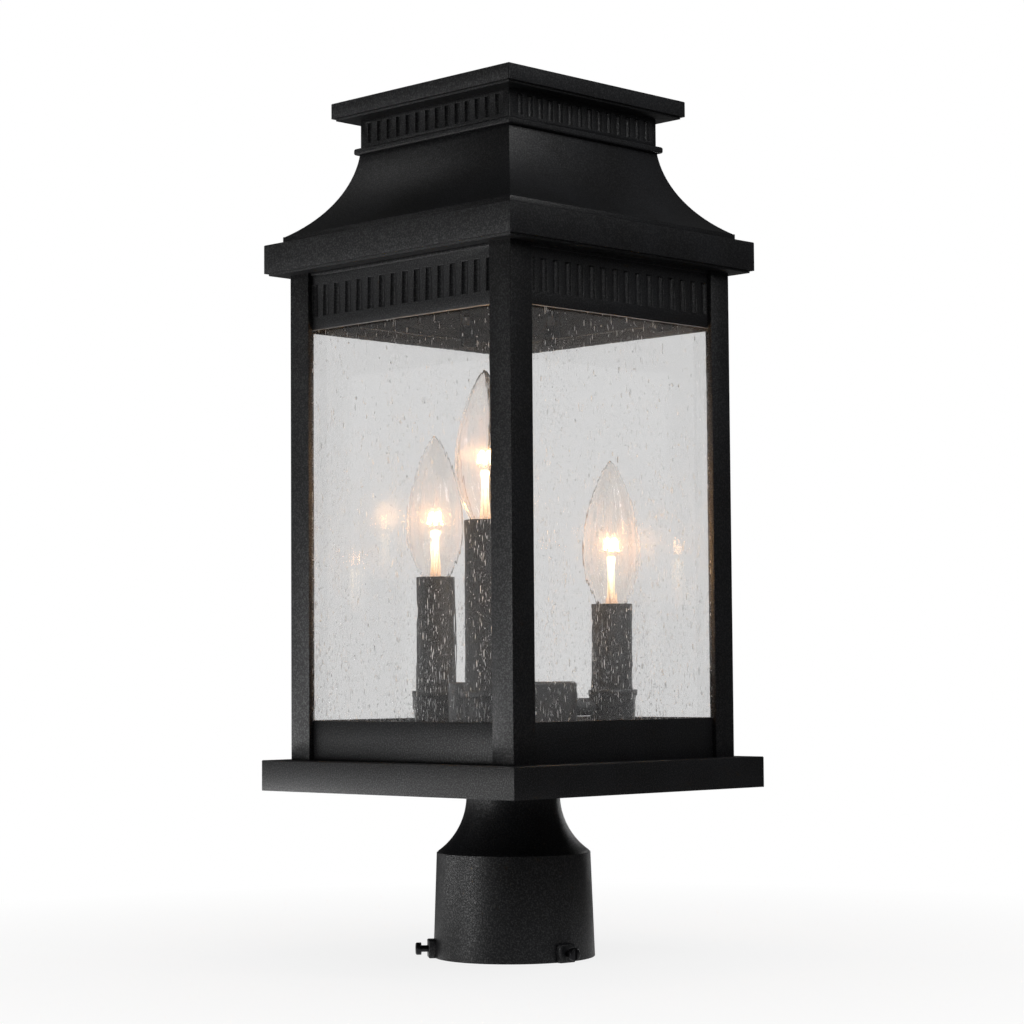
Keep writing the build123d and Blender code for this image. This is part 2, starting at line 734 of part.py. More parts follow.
def flare_curve(inset):
    """The slope's arc in (half, z): feet, middle and top, moved in by inset."""
    foot = (flare_foot_half, flare_foot_z)
    top = (flare_top_half, flare_top_z)
    chord = math.hypot(foot[0] - top[0], top[1] - foot[1])
    along = ((top[0] - foot[0]) / chord, (top[1] - foot[1]) / chord)
    off = math.sqrt(flare_radius ** 2 - (chord / 2) ** 2)
    centre = ((foot[0] + top[0]) / 2 + along[1] * off, (foot[1] + top[1]) / 2 - along[0] * off)
    radius = flare_radius + inset

    def point(angle):
        return (centre[0] + radius * math.cos(angle), centre[1] + radius * math.sin(angle))

    low = math.atan2(foot[1] - centre[1], foot[0] - centre[0])
    high = math.atan2(top[1] - centre[1], top[0] - centre[0])
    if low < 0:
        low += 2 * math.pi
    if high < 0:
        high += 2 * math.pi
    return point(low), point((low + high) / 2), point(high)


def four_sided(points_low, arc, points_high):
    """A four-sided form whose sides all have one outline: two crossed prisms' common part."""
    (low_r, low_z), (high_r, high_z) = points_low[0], points_high[-1]
    outline = Wire([*Polyline(*points_low).edges(), *ThreePointArc(*arc).edges(),
                    *Polyline(*points_high, (0, high_z), (0, low_z), (low_r, low_z)).edges()])
    half = make_face(Plane.XZ * outline)
    face = half + mirror(half, Plane.YZ)
    prism = extrude(face, lip_half * 2, both=True)
    return prism & about_z(prism, 90)


def flare_roof():
    arc = flare_curve(0.0)
    outer = four_sided([(lip_half, eave_top_z), (lip_half, flare_foot_z), arc[0]], arc, [arc[2]])
    inner_arc = flare_curve(sheet)
    wall = lip_half - sheet
    inner = four_sided([(wall, eave_top_z), (wall, flare_foot_z - sheet), inner_arc[0]], inner_arc,
                       [inner_arc[2], (inner_arc[2][0], flare_top_z - sheet)])
    shell = outer - inner
    shell -= slab(crown_opening, flare_top_z - 2 * sheet, flare_top_z)
    tab_in = eave_screw_place() - tab_margin
    for turn in CORNERS.values():
        tab = block(tab_in, lip_half - sheet, -lip_half + sheet, -tab_in,
                    eave_top_z, eave_top_z + sheet)
        tab -= rod(roof_screw_radius + running_gap, eave_top_z, eave_top_z + sheet,
                   eave_screw_place(), -eave_screw_place())
        shell += about_z(tab, turn)
    for x, y in corner_places(crown_screw_place()):
        shell -= rod(roof_screw_radius + running_gap, flare_top_z - sheet, flare_top_z, x, y)
    return shell


def ledge_moulding():
    """A flat square moulding with a rounded nose between the roof and the upper collar."""
    plate = slab(ledge_half, flare_top_z, ledge_top_z)
    plate = fillet(plate.faces().filter_by(Axis.Z).edges(), ledge_round)
    plate -= slab(crown_opening, flare_top_z, ledge_top_z)
    for x, y in corner_places(crown_screw_place()):
        plate -= rod(roof_screw_radius + running_gap, flare_top_z, ledge_top_z, x, y)
    return plate


def frieze_collar():
    """The fluted square collar under the cap, with a flange at its foot and one at its top."""
    body = fillet(upright_edges(slab(frieze_half, ledge_top_z, frieze_top_z)), frieze_corner)
    body -= slab(frieze_half - frieze_wall, ledge_top_z + frieze_wall, frieze_top_z - frieze_wall)
    body -= slab(crown_opening, ledge_top_z, frieze_top_z)
    low = ledge_top_z + frieze_flute_low
    for turn in SIDES.values():
        for cutter in flutes(frieze_flutes, frieze_flute_pitch, frieze_flute_width, flute_depth,
                             frieze_half, low, low + frieze_flute_length):
            body -= about_z(cutter, turn)
    for x, y in corner_places(crown_screw_place()):
        hole = roof_screw_radius + running_gap
        body -= rod(hole, ledge_top_z, ledge_top_z + frieze_wall, x, y)
        body -= rod(hole, frieze_top_z - frieze_wall, frieze_top_z, x, y)
    return body


def cap_tray():
    return pressed_tray(cap_half, frieze_top_z + soffit_drop, cap_top_z, sheet)


def cap_soffit():
    pan = nested_pan(cap_half - sheet - seat_gap, crown_opening, frieze_top_z, cap_top_z - sheet)
    for x, y in corner_places(crown_screw_place()):
        pan -= rod(roof_screw_radius + running_gap, frieze_top_z, frieze_top_z + soffit_plate, x, y)
    return pan


def roof_screws():
    """Screws driven upwards: short ones through the eave, long ones through the whole crown."""
    size = (roof_screw_radius, roof_screw_head_radius, roof_screw_head_height)
    short_grip = 2 * sheet + roof_screw_end
    long_grip = frieze_top_z + soffit_plate + roof_screw_end - (flare_top_z - sheet)
    solids = [screw_up(x, y, eave_top_z - sheet, short_grip, *size)
              for x, y in corner_places(eave_screw_place())]
    solids += [screw_up(x, y, flare_top_z - sheet, long_grip, *size)
               for x, y in corner_places(crown_screw_place())]
    return group(solids)


# ---------------------------------------------------------------- write every node
save("post_fitter", post_fitter())
for number in range(3):
    save(f"set_screw_{number + 1}", about_z(set_screw(), boss_angle + 120 * number))
save("base_tray", base_tray())
for name, turn in CORNERS.items():
    save("corner_post_" + name, about_z(corner_post(), turn))
for name, turn in SIDES.items():
    save("bottom_rail_" + name, about_z(bottom_rail(), turn))
    save("lintel_" + name, about_z(lintel(), turn))
    save("glass_pane_" + name, about_z(glass_pane(), turn))
save("pane_clips", group(round_the_sides(pane_clip)))
save("clip_screws", group(round_the_sides(clip_screw)))
save("cage_screws", group(
    screw_up(x, y, tray_plate_z, sheet + lug_thickness, cage_screw_radius,
             cage_screw_head_radius, cage_screw_head_height)
    for x, y in corner_places(stud_place)))

save("threaded_nipple", threaded_nipple())
save("nipple_locknuts", nipple_locknuts())
save("hub_cap_nut", hub_cap_nut())
save("cluster_hub", cluster_hub())
stems = []
for name, (turn, sleeve_height) in CANDLES.items():
    angle = first_candle_angle + turn
    sleeve_top = cup_rim_z + sleeve_height
    save("arm_" + name, about_z(arm(), angle))
    save("candle_cup_" + name, about_z(candle_cup(), angle))
    save("candle_sleeve_" + name, about_z(candle_sleeve(sleeve_top), angle))
    save("lampholder_" + name, about_z(lampholder(sleeve_top), angle))
    save("bulb_base_" + name, about_z(bulb_base(sleeve_top), angle))
    save("bulb_envelope_" + name, about_z(bulb_envelope(sleeve_top), angle))
    save("bulb_mount_" + name, about_z(bulb_mount(sleeve_top), angle))
    stems.append(about_z(candle_stem(sleeve_top), angle))
save("candle_stems", group(stems))

save("eave_soffit", eave_soffit())
save("eave_tray", eave_tray())
save("roof_studs", roof_studs())
save("roof_nuts", roof_nuts())
save("flare_roof", flare_roof())
save("ledge_moulding", ledge_moulding())
save("frieze_collar", frieze_collar())
save("cap_tray", cap_tray())
save("cap_soffit", cap_soffit())
save("roof_screws", roof_screws())
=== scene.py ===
"""Post top lantern, dressed: powder-coated cage, seeded glass and three lit candle lamps.

Metres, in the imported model's own frame: +Z up the post, front -Y, right +X. The outlines of turned
pieces and the points of the bulbs' mounts are written in millimetres first.
"""

import json
import math
import random

import bmesh
import bpy
from mathutils import Matrix, Vector


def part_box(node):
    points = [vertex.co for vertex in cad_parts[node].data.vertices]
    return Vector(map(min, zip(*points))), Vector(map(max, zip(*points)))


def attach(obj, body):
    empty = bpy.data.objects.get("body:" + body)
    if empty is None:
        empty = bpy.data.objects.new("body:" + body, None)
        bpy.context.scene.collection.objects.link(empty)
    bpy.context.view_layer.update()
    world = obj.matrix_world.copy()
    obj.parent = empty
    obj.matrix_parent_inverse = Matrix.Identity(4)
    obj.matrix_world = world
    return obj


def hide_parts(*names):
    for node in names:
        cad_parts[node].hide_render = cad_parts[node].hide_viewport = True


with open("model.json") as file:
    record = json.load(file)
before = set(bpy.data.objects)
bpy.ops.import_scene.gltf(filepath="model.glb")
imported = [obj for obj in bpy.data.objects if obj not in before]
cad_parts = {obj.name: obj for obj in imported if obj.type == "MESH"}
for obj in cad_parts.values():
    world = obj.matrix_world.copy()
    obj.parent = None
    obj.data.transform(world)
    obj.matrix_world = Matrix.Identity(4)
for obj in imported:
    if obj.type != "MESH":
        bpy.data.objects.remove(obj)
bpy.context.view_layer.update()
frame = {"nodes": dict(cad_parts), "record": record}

MM = 0.001
UP = Vector((0, 0, 1))
SIDES = ("front", "right", "back", "left")
CORNERS = ("front_right", "back_right", "back_left", "front_left")
CANDLES = ("short", "middle", "tall")
FILAMENT_RISE = 33                       # a lit filament's middle above its sleeve's mouth, in mm
WHITE_WALL = (-0.606, -0.795, 0)         # direction of the wall that shows in the coat's gloss
SMOOTH_ANGLE = 32                        # degrees between faces up to which they shade as one
WHITE = (1, 1, 1, 1)


# ---------------------------------------------------------------- colours and nodes
def colour(code):
    """An sRGB hex value as linear RGBA."""
    channels = [int(code[i:i + 2], 16) / 255 for i in (1, 3, 5)]
    linear = [c / 12.92 if c <= 0.04045 else ((c + 0.055) / 1.055) ** 2.4 for c in channels]
    return (*linear, 1.0)


def grey(level):
    """A linear grey as RGBA."""
    return (level, level, level, 1)


def add_node(tree, kind, settings=None, **inputs):
    """Adds a node; an input is a value, or an output socket of another node to link from."""
    node = tree.nodes.new("ShaderNode" + kind)
    for name, value in (settings or {}).items():
        setattr(node, name, value)
    for name, value in inputs.items():
        key = int(name[1:]) if name[0] == "_" else name.replace("_", " ")
        if isinstance(value, bpy.types.NodeSocket):
            tree.links.new(value, node.inputs[key])
        else:
            node.inputs[key].default_value = value
    return node


def new_material(name):
    """An empty material with its Principled shader, ready for its finish."""
    material = bpy.data.materials.new(name)
    material.use_nodes = True
    tree = material.node_tree
    return material, tree, tree.nodes["Principled BSDF"]


def coordinates(tree):
    """Object coordinates, which are metres in the model's frame at rest."""
    return add_node(tree, "TexCoord").outputs["Object"]


def place_texture(tree, scale=(1, 1, 1)):
    """Object coordinates, stretched where a pattern runs along the piece."""
    return add_node(tree, "Mapping", Vector=coordinates(tree), Scale=scale).outputs["Vector"]


def noise(tree, where, size, detail=1.0, roughness=0.5):
    """Noise whose lumps are about size metres across."""
    return add_node(tree, "TexNoise", Vector=where, Scale=1 / size, Detail=detail,
                    Roughness=roughness).outputs["Fac"]


def between(tree, value, low, high, to_low, to_high):
    """Spreads a value between two levels onto two others."""
    return add_node(tree, "MapRange", _0=value, _1=low, _2=high, _3=to_low,
                    _4=to_high).outputs["Result"]


def spread_noise(tree, value, to_low, to_high):
    """Spreads the levels that hold most of a noise onto two others."""
    return between(tree, value, 0.3, 0.7, to_low, to_high)


def calculate(tree, operation, *values):
    """The result of a Math node."""
    inputs = {f"_{index}": value for index, value in enumerate(values)}
    return add_node(tree, "Math", {"operation": operation}, **inputs).outputs[0]


def times(tree, one, two):
    """The product of two values."""
    return calculate(tree, "MULTIPLY", one, two)


def largest(tree, first, *others):
    """The largest of several values."""
    for other in others:
        first = calculate(tree, "MAXIMUM", first, other)
    return first


def two_tone(tree, value, dark, light):
    """A colour ramp from one colour to another, given as hex values."""
    ramp = add_node(tree, "ValToRGB", Fac=value)
    ramp.color_ramp.elements[0].color = colour(dark)
    ramp.color_ramp.elements[1].color = colour(light)
    return ramp.outputs["Color"]


def bump(tree, height, depth, **under):
    """The normal of a face raised by height, over another normal if one is given."""
    return add_node(tree, "Bump", Height=height, Distance=depth, **under).outputs["Normal"]


def mix_in(tree, share, shader, other):
    """Gives a material the mix of its shader with a share of another one."""
    mixed = add_node(tree, "MixShader", _0=share, _1=shader.outputs[0], _2=other.outputs[0])
    tree.links.new(mixed.outputs[0], tree.nodes["Material Output"].inputs["Surface"])


def candle_place(name):
    """A candle's axis, and the height of its sleeve's mouth in mm."""
    low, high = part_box("candle_sleeve_" + name)
    return ((low.x + high.x) / 2, (low.y + high.y) / 2), high.z / MM


FILAMENTS = [(*place, (mouth_z + FILAMENT_RISE) * MM) for place, mouth_z in map(candle_place, CANDLES)]


# ---------------------------------------------------------------- materials
def powder_coat(name, grain, depth, dark="#161617", light="#212225", roughness=0.42):
    """Fine-textured polyester powder coat, baked: the grit gives a soft, speckled satin black."""
    grit_share, cloud_share, cloud_size = 0.7, 0.3, 30 * MM
    material, tree, shader = new_material(name)
    where = place_texture(tree)
    grit = noise(tree, where, grain, 2.0, 0.6)
    cloud = noise(tree, where, cloud_size, 2.0)
    mixed = calculate(tree, "MULTIPLY_ADD", grit, grit_share, spread_noise(tree, cloud, 0.0, cloud_share))
    tree.links.new(two_tone(tree, spread_noise(tree, mixed, 0, 1), dark, light),
                   shader.inputs["Base Color"])
    tree.links.new(spread_noise(tree, grit, roughness - 0.06, roughness + 0.08),
                   shader.inputs["Roughness"])
    shader.inputs["IOR"].default_value = 1.55
    speckle = noise(tree, where, grain * 0.9)
    tree.links.new(between(tree, speckle, 0.45, 0.7, 0.28, 0.72), shader.inputs["Specular IOR Level"])
    tree.links.new(bump(tree, grit, depth), shader.inputs["Normal"])
    return material


def drawing_strokes(tree):
    """Heights of the fine upright strokes in drawn glass: in patches, and weaker higher up."""
    fine = noise(tree, place_texture(tree, (1, 1, 0.12)), 0.35 * MM)
    patches = noise(tree, place_texture(tree, (1, 1, 0.6)), 40 * MM)
    patchy = times(tree, between(tree, fine, 0.7, 0.78, 0.0, 1.0),
                   between(tree, patches, 0.42, 0.6, 0.15, 1.0))
    height = add_node(tree, "SeparateXYZ", Vector=coordinates(tree)).outputs["Z"]
    return times(tree, patchy, between(tree, height, 0.13, 0.27, 1.0, 0.5))


def seeded_glass():
    """Drawn soda-lime glass: faint upright reed, slightly wavy faces, fine strokes, a little haze."""
    tint, index = "#EAEAEA", 1.5
    wave_weight, wave_depth, stroke_depth, haze_share = 3.0, 0.024 * MM, 0.05 * MM, 0.026
    material, tree, shader = new_material("seeded_glass")
    reed = noise(tree, place_texture(tree, (1, 1, 0.13)), 2.8 * MM)
    wave = noise(tree, place_texture(tree, (1, 1, 0.4)), 16 * MM)
    drawn = bump(tree, calculate(tree, "MULTIPLY_ADD", wave, wave_weight, reed), wave_depth)
    drawn = bump(tree, drawing_strokes(tree), stroke_depth, Normal=drawn)
    shader.inputs["Base Color"].default_value = colour(tint)
    shader.inputs["Transmission Weight"].default_value = 1.0
    shader.inputs["Roughness"].default_value = 0.0
    shader.inputs["IOR"].default_value = index
    shader.inputs["Specular Tint"].default_value = grey(0.7)
    tree.links.new(drawn, shader.inputs["Normal"])
    haze = add_node(tree, "BsdfPrincipled", Base_Color=colour(tint), Transmission_Weight=1.0,
                    Roughness=0.22, IOR=index, Specular_Tint=grey(0.02), Normal=drawn)
    mix_in(tree, haze_share, shader, haze)
    return material


def seed_void():
    """The inner skin of a seed: bare glass against the air in it."""
    material, tree, shader = new_material("seed_void")
    skin = noise(tree, place_texture(tree, (1, 1, 0.2)), 0.4 * MM)
    shader.inputs["Transmission Weight"].default_value = 1.0
    shader.inputs["IOR"].default_value = 1.5
    tree.links.new(between(tree, skin, 0.4, 0.7, 0.4, 0.75), shader.inputs["Roughness"])
    shader.inputs["Base Color"].default_value = WHITE
    return material


def from_filament(tree):
    """Distance to the nearest lit filament, in metres."""
    where = coordinates(tree)
    nearest, *others = [add_node(tree, "VectorMath", {"operation": "DISTANCE"}, _0=where,
                                 _1=place).outputs["Value"] for place in FILAMENTS]
    for other in others:
        nearest = calculate(tree, "MINIMUM", nearest, other)
    return nearest


def bulb_glass():
    """Clear blown soda-lime glass, with a faint warm painted glow where it lies near its filament."""
    glow, glow_full, glow_end, bloom_share, index = 0.09, 14 * MM, 30 * MM, 0.04, 1.45
    material, tree, shader = new_material("bulb_glass")
    shader.inputs["Base Color"].default_value = WHITE
    shader.inputs["Transmission Weight"].default_value = 1.0
    shader.inputs["Roughness"].default_value = 0.0
    shader.inputs["IOR"].default_value = index
    # Painted glow: the envelope emits amber light near the filament, fading off with distance and broken
    # into streaks, though the glass gives no light of its own.
    shader.inputs["Emission Color"].default_value = colour("#FFA45C")
    glow_streaks = noise(tree, place_texture(tree, (1, 1, 0.06)), 3.5 * MM)
    painted_glow = times(tree, between(tree, from_filament(tree), glow_full, glow_end, glow, 0.0),
                   between(tree, glow_streaks, 0.45, 0.65, 0.03, 1.0))
    tree.links.new(painted_glow, shader.inputs["Emission Strength"])
    bloom = add_node(tree, "BsdfPrincipled", Base_Color=colour("#FFCF96"), Transmission_Weight=1.0,
                     Roughness=0.4, IOR=index, Specular_Tint=grey(0.1))
    mix_in(tree, bloom_share, shader, bloom)
    return material


def candle_sleeve_black():
    """Satin black paint on a steel tube: darker and finer than the cage's coat."""
    return powder_coat("candle_sleeve_black", grain=0.6 * MM, depth=0.03 * MM, dark="#0C0C0C",
                       light="#161515", roughness=0.5)


def oxide_steel():
    """Black-oxide steel: dark, dry and slightly metallic."""
    material, tree, shader = new_material("oxide_steel")
    grain = noise(tree, place_texture(tree), 0.5 * MM, 3.0)
    tree.links.new(two_tone(tree, grain, "#1E1E20", "#323235"), shader.inputs["Base Color"])
    shader.inputs["Metallic"].default_value = 0.8
    tree.links.new(spread_noise(tree, grain, 0.32, 0.45), shader.inputs["Roughness"])
    return material


def zinc_plate():
    """Zinc-plated steel: pale grey, softly bright, with a faint blue passivation."""
    material, tree, shader = new_material("zinc_plate")
    grain = noise(tree, place_texture(tree), 0.8 * MM, 3.0)
    tree.links.new(two_tone(tree, grain, "#9A9DA1", "#B9BCC0"), shader.inputs["Base Color"])
    shader.inputs["Metallic"].default_value = 1.0
    tree.links.new(spread_noise(tree, grain, 0.28, 0.4), shader.inputs["Roughness"])
    return material


def phenolic_black():
    """Moulded phenolic: hard, dense black with a low sheen."""
    material, tree, shader = new_material("phenolic_black")
    grain = noise(tree, place_texture(tree), 0.7 * MM, 2.0)
    tree.links.new(two_tone(tree, grain, "#0E0E0E", "#181818"), shader.inputs["Base Color"])
    tree.links.new(spread_noise(tree, grain, 0.38, 0.5), shader.inputs["Roughness"])
    return material


def nickelled_brass():
    """Thin nickel over spun brass: warm and bright, with turning marks round it."""
    material, tree, shader = new_material("nickelled_brass")
    marks = noise(tree, place_texture(tree, (0.05, 0.05, 1)), 0.3 * MM, 2.0)
    tree.links.new(two_tone(tree, marks, "#C9A661", "#E2C88C"), shader.inputs["Base Color"])
    shader.inputs["Metallic"].default_value = 1.0
    tree.links.new(spread_noise(tree, marks, 0.2, 0.3), shader.inputs["Roughness"])
    return material


def lit_tungsten(glow):
    """The filament, lit: pale amber, a little uneven along the wire."""
    material, tree, shader = new_material("lit_tungsten")
    flicker = noise(tree, place_texture(tree), 1.2 * MM)
    tree.links.new(two_tone(tree, flicker, "#FFAE58", "#FFD59C"), shader.inputs["Emission Color"])
    shader.inputs["Emission Strength"].default_value = glow
    shader.inputs["Base Color"].default_value = colour("#8A8480")
    return material


def lead_glass():
    """The flint-glass mount, with a painted glow: pale and bright under the filament, amber down in the
    base.
    """
    material, tree, shader = new_material("lead_glass")
    # Painted glow: the mount emits light, strongest and palest nearest the filament and amber further
    # down, in place of the filament's light falling on it.
    painted_glow_fade = between(tree, from_filament(tree), 12 * MM, 32 * MM, 0.0, 1.0)
    ribs = noise(tree, place_texture(tree, (0.2, 0.2, 1)), 0.9 * MM)
    painted_glow_tone = calculate(tree, "MULTIPLY_ADD", ribs, 0.5, between(tree, painted_glow_fade, 0.0, 1.0, -0.25, 0.6))
    tree.links.new(two_tone(tree, painted_glow_tone, "#FFE9B8", "#B06A26"), shader.inputs["Emission Color"])
    tree.links.new(between(tree, painted_glow_fade, 0.0, 1.0, 2.2, 0.7), shader.inputs["Emission Strength"])
    shader.inputs["Transmission Weight"].default_value = 0.8
    shader.inputs["Roughness"].default_value = 0.2
    return material


MATERIALS = {
    "cast_powder_coat": powder_coat("cast_powder_coat", grain=0.9 * MM, depth=0.11 * MM),
    "black_powder_coat": powder_coat("black_powder_coat", grain=0.8 * MM, depth=0.09 * MM),
    "seeded_glass": seeded_glass(),
    "seed_void": seed_void(),
    "bulb_glass": bulb_glass(),
    "black_candle_sleeve": candle_sleeve_black(),
    "blackened_steel": oxide_steel(),
    "zinc_steel": zinc_plate(),
    "phenolic": phenolic_black(),
    "bulb_brass": nickelled_brass(),
    "filament": lit_tungsten(glow=120.0),
    "lead_glass": lead_glass(),
}


# ---------------------------------------------------------------- making pieces
SLOT_OF = {part["node"]: part["material_slot"] for part in frame["record"]["subparts"]}
BODY_OF = {node: body for body, nodes in frame["record"]["behaviour"]["bodies"].items() for node in nodes}


def one_mesh(name, shapes):
    """Joins bmeshes into one smooth mesh, each under a material index of its own."""
    whole = bmesh.new()
    for index, bm in enumerate(shapes):
        part = bpy.data.meshes.new("part")
        for face in bm.faces:
            face.smooth = True
            face.material_index = index
        bm.to_mesh(part)
        bm.free()
        whole.from_mesh(part)
        bpy.data.meshes.remove(part)
    mesh = bpy.data.meshes.new(name)
    whole.to_mesh(mesh)
    whole.free()
    return mesh


def finish_piece(name, shapes, node, materials=None, smooth_angle=SMOOTH_ANGLE):
    """Makes bmeshes the piece that stands for a CAD node, each in its own finish."""
    mesh = one_mesh(name, shapes)
    mesh.set_sharp_from_angle(angle=math.radians(smooth_angle))
    piece = bpy.data.objects.new(name, mesh)
    bpy.context.scene.collection.objects.link(piece)
    for material in materials or [SLOT_OF[node]]:
        mesh.materials.append(MATERIALS[material])
    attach(piece, BODY_OF[node])
    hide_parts(node)
    return piece


def cad_copy(node):
    """A CAD node's mesh as a bmesh, welded, with its flat faces made whole."""
    weld, flat = 0.002 * MM, math.radians(0.05)
    bm = bmesh.new()
    bm.from_mesh(frame["nodes"][node].data)
    bmesh.ops.remove_doubles(bm, verts=bm.verts, dist=weld)
    bmesh.ops.dissolve_limit(bm, angle_limit=flat, use_dissolve_boundaries=False,
                             verts=bm.verts, edges=bm.edges, delimit=set())
    return bm


def ease(bm, edges, width, steps):
    """Rounds edges of a bmesh."""
    bmesh.ops.bevel(bm, geom=edges, offset=width, offset_type="OFFSET", segments=steps,
                    profile=0.5, affect="EDGES", clamp_overlap=True, material=-1)


def eased_copy(node, width):
    """A CAD node with its long sharp edges rounded, as pressing and powder coat leave them."""
    shortest, sharp = 2.5 * MM, math.radians(30)
    bm = cad_copy(node)
    bm.normal_update()
    edges = [edge for edge in bm.edges if edge.is_manifold and edge.calc_length() > shortest
             and edge.calc_face_angle(0) > sharp]
    ease(bm, edges, width, 2)
    finish_piece(node + "_piece", [bm], node)


def plain_copies(nodes):
    """Fasteners and small parts: the CAD solids welded and shaded smooth, with nothing eased."""
    for node in nodes:
        finish_piece(node + "_piece", [cad_copy(node)], node)


def turned(outline, steps, centre=(0, 0), closed=True):
    """A lathe-turned solid from an (r, z) outline in mm; an open one starts and ends on its axis."""
    bm = bmesh.new()
    points = [bm.verts.new((r * MM, 0, z * MM)) for r, z in outline]
    edges = [bm.edges.new(pair) for pair in zip(points, points[1:])]
    if closed:
        edges.append(bm.edges.new((points[-1], points[0])))
    bmesh.ops.spin(bm, geom=points + edges, axis=UP, cent=(0, 0, 0), steps=steps,
                   angle=math.tau, use_merge=True)
    bmesh.ops.remove_doubles(bm, verts=bm.verts, dist=0.001 * MM)
    bmesh.ops.recalc_face_normals(bm, faces=bm.faces)
    bmesh.ops.translate(bm, verts=bm.verts, vec=(*centre, 0))
    return bm


def boolean(piece, tool_bm, operation):
    """Joins a closed tool shape to a piece, or cuts it away."""
    mesh = bpy.data.meshes.new("tool")
    tool_bm.to_mesh(mesh)
    tool_bm.free()
    tool = bpy.data.objects.new("tool", mesh)
    bpy.context.scene.collection.objects.link(tool)
    change = piece.modifiers.new("change", "BOOLEAN")
    change.object = tool
    change.operation = operation
    change.solver = "EXACT"
    bpy.context.view_layer.update()
    result = piece.evaluated_get(bpy.context.evaluated_depsgraph_get())
    new_mesh = bpy.data.meshes.new_from_object(result)
    piece.modifiers.clear()
    old_mesh, piece.data = piece.data, new_mesh
    bpy.data.meshes.remove(old_mesh)
    bpy.data.objects.remove(tool)
    bpy.data.meshes.remove(mesh)


def box_bm(low, high, width, steps):
    """A box between two corners with eased edges."""
    bm = bmesh.new()
    bmesh.ops.create_cube(bm, size=1)
    low, high = Vector(low), Vector(high)
    bmesh.ops.scale(bm, verts=bm.verts, vec=high - low)
    bmesh.ops.translate(bm, verts=bm.verts, vec=(low + high) / 2)
    ease(bm, bm.edges[:], width, steps)
    return bm


def arc_points(start, end, radius, count):
    """Points on an arc from start to end, both included, whose centre lies on the right hand."""
    (x0, y0), (x1, y1) = start, end
    chord = math.hypot(x1 - x0, y1 - y0)
    off = math.sqrt(radius ** 2 - chord ** 2 / 4)
    centre = ((x0 + x1) / 2 + (y1 - y0) / chord * off, (y0 + y1) / 2 - (x1 - x0) / chord * off)
    first = math.atan2(y0 - centre[1], x0 - centre[0])
    sweep = -2 * math.asin(chord / 2 / radius)
    angles = [first + sweep * i / (count - 1) for i in range(count)]
    return [(centre[0] + radius * math.cos(angle), centre[1] + radius * math.sin(angle))
            for angle in angles]


def bezier(p0, p1, p2, p3, count):
    """Points along a cubic, both ends included."""
    points = []
    for i in range(count):
        t = i / (count - 1)
        weights = ((1 - t) ** 3, 3 * t * (1 - t) ** 2, 3 * t ** 2 * (1 - t), t ** 3)
        points.append(tuple(sum(w * p[k] for w, p in zip(weights, (p0, p1, p2, p3))) for k in (0, 1)))
    return points


def eased_corner(points, index, size):
    """Replaces one corner of an outline with a short round."""
    steps, chord_share, corner_share = 4, 0.42, 0.58
    before, corner, after = points[index - 1], points[index], points[(index + 1) % len(points)]

    def towards(other):
        """The point that lies size away from the corner."""
        length = math.dist(corner, other)
        return tuple(c + (o - c) * size / length for c, o in zip(corner, other))

    start, end = towards(before), towards(after)
    middle = tuple((s + e) / 2 * chord_share + c * corner_share for s, e, c in zip(start, end, corner))
    rounded = []
    for i in range(steps + 1):
        t = i / steps
        rounded.append(tuple((1 - t) ** 2 * s + 2 * t * (1 - t) * (2 * m - (s + e) / 2) + t ** 2 * e
                             for s, m, e in zip(start, middle, end)))
    return points[:index] + rounded + points[index + 1:]


# ---------------------------------------------------------------- cage and roof
for node, thing in frame["nodes"].items():
    thing.data.materials.clear()
    thing.data.materials.append(MATERIALS[SLOT_OF[node]])

EASE, WIDE_EASE = 0.35 * MM, 0.5 * MM
WIDELY_EASED = ("eave_tray", "cap_tray", "ledge_moulding")
FLAT_PIECES = ["base_tray", "eave_soffit", "eave_tray", "ledge_moulding", "frieze_collar", "cap_tray",
               "cap_soffit", "flare_roof"]
FLAT_PIECES += [f"{kind}_{side}" for kind in ("bottom_rail", "lintel") for side in SIDES]
FLAT_PIECES += ["corner_post_" + corner for corner in CORNERS]
for node in FLAT_PIECES:
    eased_copy(node, WIDE_EASE if node in WIDELY_EASED else EASE)


# ---------------------------------------------------------------- post fitter
def fitter_outline():
    """The casting's section in mm: drafted collar, hollow sweep, neck, web and the space inside."""
    bore, shoulder, rim, neck = 39.0, 41.0, 43.0, 25.0
    bore_z, shoulder_z, sweep_z, web_z, top_z = 55.0, 55.4, 85.4, 97.2, 103.2
    wall, hole = 3.5, 6.65
    sweep = arc_points((shoulder - 0.9, shoulder_z + 0.6), (neck, sweep_z), 36.0, 28)
    inside = arc_points((bore - wall, bore_z), (neck - wall, sweep_z - wall), 30.0, 20)
    collar = [(bore, 0.0), (rim, 0.0), (shoulder, shoulder_z)]
    collar = eased_corner(eased_corner(collar, 2, 0.5), 1, 0.6)
    return (collar + sweep + [(neck, top_z), (hole, top_z), (hole, web_z), (neck - wall, web_z)]
            + inside[::-1] + [(bore, bore_z)])


def add_boss(piece, around):
    """Joins a set screw's boss to the rim."""
    boss_low, boss_high = (40 * MM, -5 * MM, 0), (46.1 * MM, 5 * MM, 9.6 * MM)
    boss = box_bm(boss_low, boss_high, 0.7 * MM, 3)
    bmesh.ops.rotate(boss, verts=boss.verts, cent=(0, 0, 0), matrix=around)
    boolean(piece, boss, "UNION")


